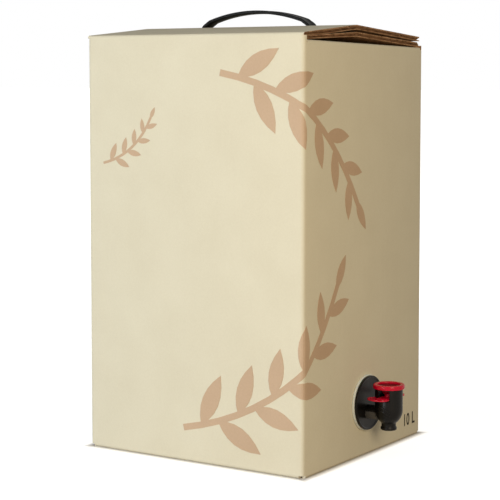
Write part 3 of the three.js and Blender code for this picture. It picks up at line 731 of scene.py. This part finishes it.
def top_flaps():
    """The outer flap from the left wall, over the second flap from the right wall."""
    r = CREASE_RADIUS
    half = BOARD / 2
    slots = strap_slot_cutters()
    end = RIGHT - OUTER_FLAP_GAP
    rise = RIDGE_RISE * (CRUSH_END - r) / (RIDGE_OFFSET - r)
    crush = LEFT + CRUSH_END
    bend = arc((LEFT + r, HEIGHT - r), r, 180, 90)
    top = [*bend, (crush, HEIGHT + rise), (RIDGE_X, RIDGE_TOP), (end, HEIGHT)]
    under = [(LEFT + BOARD, HEIGHT - CRUSHED), (crush, HEIGHT + rise - BOARD), (RIDGE_X, RIDGE_TOP - BOARD)]
    under.append((end, HEIGHT - BOARD))
    middle = [(LEFT + BOARD, HEIGHT - CRUSHED / 2), (crush, HEIGHT + rise - half)]
    middle += [(RIDGE_X, RIDGE_TOP - half), (end, HEIGHT - half)]
    corrugated_flap("outer_flap", top, under, middle, slots)

    ridge = RIDGE_TOP - BOARD - RIDGE_GAP
    tail = LEFT + SECOND_FLAP_GAP
    tail_top = HEIGHT - CRUSHED - FLAP_CLEARANCE
    bend = arc((RIGHT - r, SECOND_FOLD - r), r, 0, 90)
    top = [*bend, (RIDGE_X, ridge), (tail, tail_top)]
    under = [(RIGHT - BOARD, SECOND_FOLD - BOARD), (RIDGE_X, ridge - BOARD), (tail, tail_top - CRUSHED)]
    middle = [(RIGHT - BOARD, SECOND_FOLD - half), (RIDGE_X, ridge - half), (tail, tail_top - CRUSHED / 2)]
    low = (RIGHT - NOTCH_LENGTH, FRONT - CUT_MARGIN, DUST_FAR)
    notch = box("notch_cutter", low, (RIGHT + CUT_MARGIN, FRONT + BOARD + FLAP_INSET, NOTCH_TOP))
    corrugated_flap("second_flap", top, under, middle, [*slots, notch])
    discard(*slots, notch)


def litre_mark():
    """The plain volume mark beside the tap."""
    select_none()
    place = metres((MARK_LEFT, FRONT - MARK_OUT, MARK_FOOT))
    bpy.ops.object.text_add(location=place, rotation=(math.pi / 2, 0, 0))
    mark = bpy.context.object
    mark.name = "litre_mark"
    mark.data.body = "10 L"
    mark.data.size = 0.001 * MARK_SIZE
    mark.data.offset = 0.001 * MARK_BOLD
    mark.data.space_character = MARK_SPREAD
    mark.data.extrude = 0.001 * MARK_INK
    mark.scale = (MARK_NARROWING, 1.0, 1.0)
    bpy.ops.object.convert(target="MESH")
    bpy.ops.object.transform_apply(location=True, rotation=True, scale=True)
    edit(mark)
    tidy_faces()
    bpy.ops.object.mode_set(mode="OBJECT")
    return dress(mark, "pack", [], MARK)


carton_walls()
base_folds()
dust_flap("dust_flap_near", -1)
dust_flap("dust_flap_far", 1)
top_flaps()
litre_mark()


# Making the bag


def film_bag():
    """The filled bag, creased where it sags, with room for the gland and the glue lap."""
    low = (LEFT + BAG_GAP, FRONT + BAG_GAP, BAG_BOTTOM)
    bag = box("film_bag", low, (RIGHT - BAG_GAP, BACK - BAG_GAP, BAG_TOP))
    bevel(bag, BAG_ROUNDING, 4)
    modify(bag, "REMESH", mode="VOXEL", voxel_size=0.001 * BAG_GRID)
    cloud = bpy.data.textures.new("film_folds", "CLOUDS")
    cloud.noise_scale = 0.001 * BAG_FOLD_SIZE
    cloud.noise_depth = 2
    depth = 0.001 * BAG_FOLD_DEPTH
    modify(bag, "DISPLACE", texture=cloud, strength=depth, mid_level=1.0, texture_coords="LOCAL")
    gland_room = rod("gland_room", GLAND_ROOM_RADIUS, -GLAND_ROOM_DEPTH, 0, 0)
    spigot_room = rod("spigot_room", GLAND_BORE, -SPIGOT_ROOM_DEPTH, 0, 0)
    lap_corner = (RIGHT - BOARD - GLUE_LAP - LAP_CLEARANCE, BACK - 2 * BOARD - LAP_CLEARANCE, 0)
    lap_room = box("lap_room", lap_corner, (RIGHT, BACK, HEIGHT))
    cut(bag, gland_room, spigot_room, lap_room)
    discard(gland_room, spigot_room, lap_room)
    return dress(bag, "pack", ["bag"], FILM, angle=60)


film_bag()


# Making the carrying strap


def carry_strap():
    """The bowed strap with its low rims, its two legs, and the cross bars that hold it under the flaps."""
    radius = (BOW_HALF**2 + BOW_DROP**2) / (2 * BOW_DROP)
    half = math.degrees(math.asin(BOW_HALF / radius))
    bow = arc((0, STRAP_MIDDLE - radius), radius, 90 + half, 90 - half, 36)
    leg = STRAP_SPAN / 2
    near, far = [(-leg, STRAP_FOOT), (-leg, ELBOW, ELBOW_CUT)], [(leg, ELBOW, ELBOW_CUT), (leg, STRAP_FOOT)]
    route = softened([*near, *bow, *far], closed=False)
    w, flat, rim = STRAP_HALF_WIDTH, STRAP_HALF_WIDTH - STRAP_FLUSH, STRAP_HALF_WIDTH - STRAP_RIM
    rims = [(-w, 0), (-flat, 0), (-rim, -RIM_HEIGHT), (rim, -RIM_HEIGHT), (flat, 0), (w, 0)]
    steps = [(b[0] - a[0], 0, b[1] - a[1]) for a, b in zip(rims, rims[1:])]
    strap = sheet("carry_strap", [(-w, y, z) for y, z in route], steps, (0, 0, 1))
    thicken(strap, STRAP_THICKNESS, STRAP_BLACK, offset=0)
    bevel(strap, 0.45, 3, angle=50)
    anchors = []
    for y in (-leg, leg):
        low = (-ANCHOR_HALF_WIDTH, y - ANCHOR_HALF_THICKNESS, STRAP_FOOT)
        high = (ANCHOR_HALF_WIDTH, y + ANCHOR_HALF_THICKNESS, STRAP_FOOT + ANCHOR_HEIGHT)
        anchor = box("anchor", low, high)
        bevel(anchor, 0.4)
        anchors.append(anchor)
    strap = join(strap, *anchors)
    return dress(strap, "handle", ["carry_handle"], STRAP_BLACK)


carry_strap()


# Making the tap


def gland():
    """The pale collar that grips the board; its outline is (radius, out from the tap face)."""
    ring = softened(
        [
            (GLAND_BORE, -7.8),
            (28, -7.8, 0.3),
            (28, -6.6, 0.3),
            (17.1, -6.6),
            (17.1, -5.0),
            (21.5, -5.0, 0.3),
            (21.5, -3.8, 0.3),
            (17.1, -3.8),
            (17.1, 0.3),
            (COLLAR_RADIUS, 0.3, 0.2),
            (COLLAR_RADIUS, 2.1, 0.4),
            (GLAND_BORE, 2.1, 0.4),
        ]
    )
    piece = turned("gland_ring", ring, (0, FRONT, AXIS), level=True)
    return dress(piece, "pack", ["gland"], MILKY)


def tap_flange():
    """The black disc with its thin rim and shallow dish, and the spigot behind it."""
    dish = [
        (0, FLANGE_BACK),
        (FLANGE_RADIUS, FLANGE_BACK, 0.3),
        (FLANGE_RADIUS, FLANGE_FRONT, 0.5),
        (19.9, FLANGE_FRONT, 0.4),
        (19.2, 3.6, 0.4),
        (9, 3.3),
        (0, 3.3),
    ]
    disc = turned("tap_flange", softened(dish, closed=False), (0, FRONT, AXIS), level=True)
    tube = [(SPIGOT_BORE, -12), (SPIGOT_RADIUS, -12, 0.5), (SPIGOT_RADIUS, 2.6), (SPIGOT_BORE, 2.6)]
    spigot = turned("spigot", softened(tube), (0, FRONT, AXIS), level=True)
    return dress(join(disc, spigot), "tap", ["tap_body"], BLACK)


def tap_neck():
    """The tube between disc and barrel, and the square bar over it, painted a little paler as a painted
    reflection highlight.
    """
    tube = rod("tap_neck", NECK_RADIUS, NECK_START, NECK_END, NECK_LEVEL)
    bevel(tube, 0.4)
    low = (-NECK_BAR_HALF, FRONT - NECK_END, AXIS + NECK_BAR_FOOT)
    bar = box("neck_bar", low, (NECK_BAR_HALF, FRONT - NECK_START, AXIS + NECK_BAR_TOP))
    bevel(bar, 0.6)
    dress(bar, "tap", ["tap_body"], BAR_BLACK_PAINTED_HIGHLIGHT)
    return dress(tube, "tap", ["tap_body"], BLACK)


def bowl_radius(height):
    """Radius of the barrel's outside at a height under its waist."""
    start = math.asin(NOZZLE_RADIUS / BARREL_RADIUS)
    depth = (BARREL_WAIST - NOZZLE_TOP) / math.cos(start)
    return BARREL_RADIUS * math.sqrt(max(1 - ((BARREL_WAIST - height) / depth) ** 2, 0))


def rib(first, last, high, low):
    """A thin curved rib on the barrel, from one azimuth and height to another."""
    points = []
    for k in range(RIB_STEPS + 1):
        t = k / RIB_STEPS
        height = high + (low - high) * t**1.5
        angle = math.radians(first + (last - first) * t)
        reach = BARREL_RADIUS if height > BARREL_WAIST else bowl_radius(height)
        points.append((reach * math.cos(angle), FRONT - REACH + reach * math.sin(angle), AXIS + height))
    draw_line("ridge", points)
    bpy.ops.object.mode_set(mode="OBJECT")
    bpy.ops.object.convert(target="CURVE")
    curve = bpy.context.object.data
    curve.bevel_depth = 0.001 * RIB_HALF
    curve.bevel_resolution = 3
    curve.use_fill_caps = True
    bpy.ops.object.convert(target="MESH")
    return bpy.context.object


def tap_barrel():
    """The barrel with its bowl and nozzle, a window on each side for the lever, and three ribs."""
    rise = BARREL_WAIST - NOZZLE_TOP
    levels = [NOZZLE_TOP + rise * (i / BOWL_STEPS) ** 1.15 for i in range(1, BOWL_STEPS + 1)]
    outline = softened(
        [
            (4.2, NOZZLE_BOTTOM, 0.3),
            (6.0, NOZZLE_BOTTOM, 0.5),
            (6.3, -18.2, 0.4),
            (6.2, -17.0, 0.4),
            (NOZZLE_RADIUS, -16.2, 0.5),
            (NOZZLE_RADIUS, -13.9, 0.4),
            *[(bowl_radius(level), level) for level in levels],
            (BARREL_RADIUS, BARREL_TOP, 0.3),
            (CHAMBER, BARREL_TOP, 0.3),
            (CHAMBER, -7.9),
            (7.7, -8.9),
            (6.6, -8.9),
            (4.2, -11.3),
        ]
    )
    barrel = turned("tap_barrel", outline)
    y = FRONT - REACH
    low = (-WINDOW_REACH, y - WINDOW_HALF, AXIS + WINDOW_FOOT)
    window = box("window_cutter", low, (WINDOW_REACH, y + WINDOW_HALF, AXIS + WINDOW_TOP))
    bevel(window, 1.0, 4)
    cut(barrel, window)
    discard(window)
    bevel(barrel, 0.18, 2, angle=55)
    ribs = [rib(*route) for route in RIBS]
    return dress(join(barrel, *ribs), "tap", ["tap_body"], BLACK)


def tap_cap():
    """The red ring over the barrel's rim."""
    ring = [
        (11.0, 13.2),
        (12.15, 13.2, 0.35),
        (12.15, 16.5, 1.1),
        (8.9, 16.5, 0.8),
        (8.9, 15.0),
        (11.0, 15.0),
    ]
    piece = turned("tap_rim", softened(ring))
    return dress(piece, "tap", ["tap_cap"], RED)


def tap_cup():
    """The elastic cup inside the ring, which the lever flattens; its red is painted dark as shade inside the
    barrel.
    """
    cup = [
        (0, 9.2),
        (4.6, 9.2, 0.6),
        (8.4, 14.0, 0.4),
        (10.7, 14.0, 0.2),
        (10.7, CUP_TOP, 0.2),
        (7.95, CUP_TOP, 0.5),
        (4.15, 10.1, 0.6),
        (0, 10.1),
    ]
    piece = turned("tap_cup", softened(cup, closed=False))
    dress(piece, "tap", ["tap_diaphragm"], CUP_RED_PAINTED_SHADE)
    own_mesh(piece)


def wing(name, side):
    """A dished oval that lies close round the barrel."""
    centre = (side * WING_OFFSET, FRONT - REACH + WING_BACK, AXIS)
    dish = [
        (0, 5.5),
        (8.4, 5.5, 0.4),
        (WING_HALF_LENGTH, 6.0, 0.3),
        (8.8, 6.7, 0.3),
        (8.1, 6.7, 0.3),
        (7.3, 6.4, 0.4),
        (0, 6.4),
    ]
    piece = turned(name, softened(dish, closed=False), centre)
    edit(piece)
    narrowing = (WING_HALF_BREADTH / WING_HALF_LENGTH, 1, 1)
    bpy.ops.transform.resize(value=narrowing, center_override=metres(centre))
    bpy.ops.object.mode_set(mode="OBJECT")
    foot, top = WING_ROOM_FOOT, WING_ROOM_TOP
    room = turned("barrel_room", [(0, foot), (WING_ROOM, foot), (WING_ROOM, top), (0, top)])
    cut(piece, room)
    discard(room)
    return piece


def tap_lever():
    """Two wings, the bar that joins them through the windows, and the hub under the cup."""
    y = FRONT - REACH
    low = (-WING_OFFSET, y - LEVER_BAR_HALF, AXIS + LEVER_BAR_FOOT)
    bar = box("lever_bar", low, (WING_OFFSET, y + LEVER_BAR_HALF, AXIS + LEVER_BAR_TOP))
    bevel(bar, 0.35)
    hub = turned("lever_hub", softened([(0, 5.0), (3.2, 5.0, 0.3), (3.2, 8.9, 0.5), (0, 8.9)], closed=False))
    piece = join(wing("lever_wings", -1), wing("right_wing", 1), bar, hub)
    return dress(piece, "lever", ["tap_lever"], RED)


gland()
tap_flange()
tap_neck()
tap_barrel()
tap_cap()
tap_cup()
tap_lever()


# Setting the floor, the light and the camera


def floor():
    """A white floor that keeps the pack's shadow, and whose glow fades out at the pack's foot as a painted
    contact shadow.
    """
    select_none()
    bpy.ops.mesh.primitive_plane_add(size=FLOOR_SIZE)
    ground = bpy.context.object
    ground.name = "floor"
    s = Surface("white_floor")
    path = s.add("ShaderNodeLightPath").outputs
    through = s.math("MULTIPLY", path["Is Glossy Ray"], GLOSSY_SHARE)
    through = s.math("MAXIMUM", through, path["Is Transmission Ray"])
    seen = s.math("MAXIMUM", path["Is Camera Ray"], through)
    s.set(colour=s.mix(seen, FLOOR_BOUNCE, FLOOR_WHITE), rough=0.9, specular=0.0)
    parts = s.add("ShaderNodeSeparateXYZ")
    s.tree.links.new(s.place, parts.inputs[0])
    out_x = s.math("SUBTRACT", s.math("ABSOLUTE", parts.outputs["X"]), 0.001 * WIDTH / 2)
    out_y = s.math("SUBTRACT", s.math("ABSOLUTE", parts.outputs["Y"]), 0.001 * DEPTH / 2)
    away = s.math("MAXIMUM", out_x, out_y)
    # The glow fades to none at the pack's foot: painted contact shadow.
    near = s.ramp(away, *PAINTED_SHADOW_BAND, 0.0, NEAR_GLOW, smooth=True)
    far = s.ramp(away, *FAR_BAND, 0.0, FAR_GLOW)
    lit = s.math("MULTIPLY", s.math("ADD", near, far), seen)
    s.set(glow=s.mix(lit, (0, 0, 0, 1), (1, 1, 1, 1)), glow_strength=1.0)
    ground.data.materials.append(s.material)


def area_light(name, place, target, size, power, colour):
    bpy.ops.object.light_add(type="AREA", location=place)
    light = bpy.context.object
    light.name = name
    light.data.size = size
    light.data.energy = power
    light.data.color = colour
    light.rotation_euler = (Vector(target) - Vector(place)).to_track_quat("-Z", "Y").to_euler()


def surroundings():
    """A dim world that light sees, and a white one that the camera and a share of the gloss see."""
    world = bpy.context.scene.world or bpy.data.worlds.new("studio")
    bpy.context.scene.world = world
    world.use_nodes = True
    nodes, links = world.node_tree.nodes, world.node_tree.links
    nodes.clear()
    mix = nodes.new("ShaderNodeMixShader")
    dim, white = nodes.new("ShaderNodeBackground"), nodes.new("ShaderNodeBackground")
    dim.inputs["Color"].default_value = WORLD_TINT
    dim.inputs["Strength"].default_value = WORLD_STRENGTH
    white.inputs["Color"].default_value = (1, 1, 1, 1)
    path = nodes.new("ShaderNodeLightPath").outputs
    glossy, through, seen = (nodes.new("ShaderNodeMath") for _ in range(3))
    glossy.operation = "MULTIPLY"
    glossy.inputs[1].default_value = GLOSSY_SHARE
    through.operation = seen.operation = "MAXIMUM"
    links.new(path["Is Glossy Ray"], glossy.inputs[0])
    links.new(glossy.outputs[0], through.inputs[0])
    links.new(path["Is Transmission Ray"], through.inputs[1])
    links.new(path["Is Camera Ray"], seen.inputs[0])
    links.new(through.outputs[0], seen.inputs[1])
    links.new(seen.outputs[0], mix.inputs[0])
    links.new(dim.outputs[0], mix.inputs[1])
    links.new(white.outputs[0], mix.inputs[2])
    links.new(mix.outputs[0], nodes.new("ShaderNodeOutputWorld").inputs["Surface"])


def camera():
    turn = (math.radians(90 - CAMERA_DIP), 0, math.radians(CAMERA_AZIMUTH))
    bpy.ops.object.camera_add(location=CAMERA_PLACE, rotation=turn)
    view = bpy.context.object
    view.name = "camera"
    view.data.sensor_width = 36
    view.data.lens = CAMERA_LENS
    view.data.shift_y = CAMERA_SHIFT
    view.data.clip_start = 0.01
    view.data.clip_end = 200
    bpy.context.scene.camera = view


camera()
floor()
surroundings()
area_light(
    "key", place=(-1.6, 0.5, 0.18), target=(0, 0, 0.14), size=0.7, power=20.8, colour=(0.88, 0.95, 1.0)
)
area_light(
    "fill", place=(-0.66, -0.90, 0.42), target=(0, 0, 0.16), size=0.4, power=4.3, colour=(1.0, 0.84, 0.60)
)
bpy.context.scene.view_settings.view_transform = "Standard"
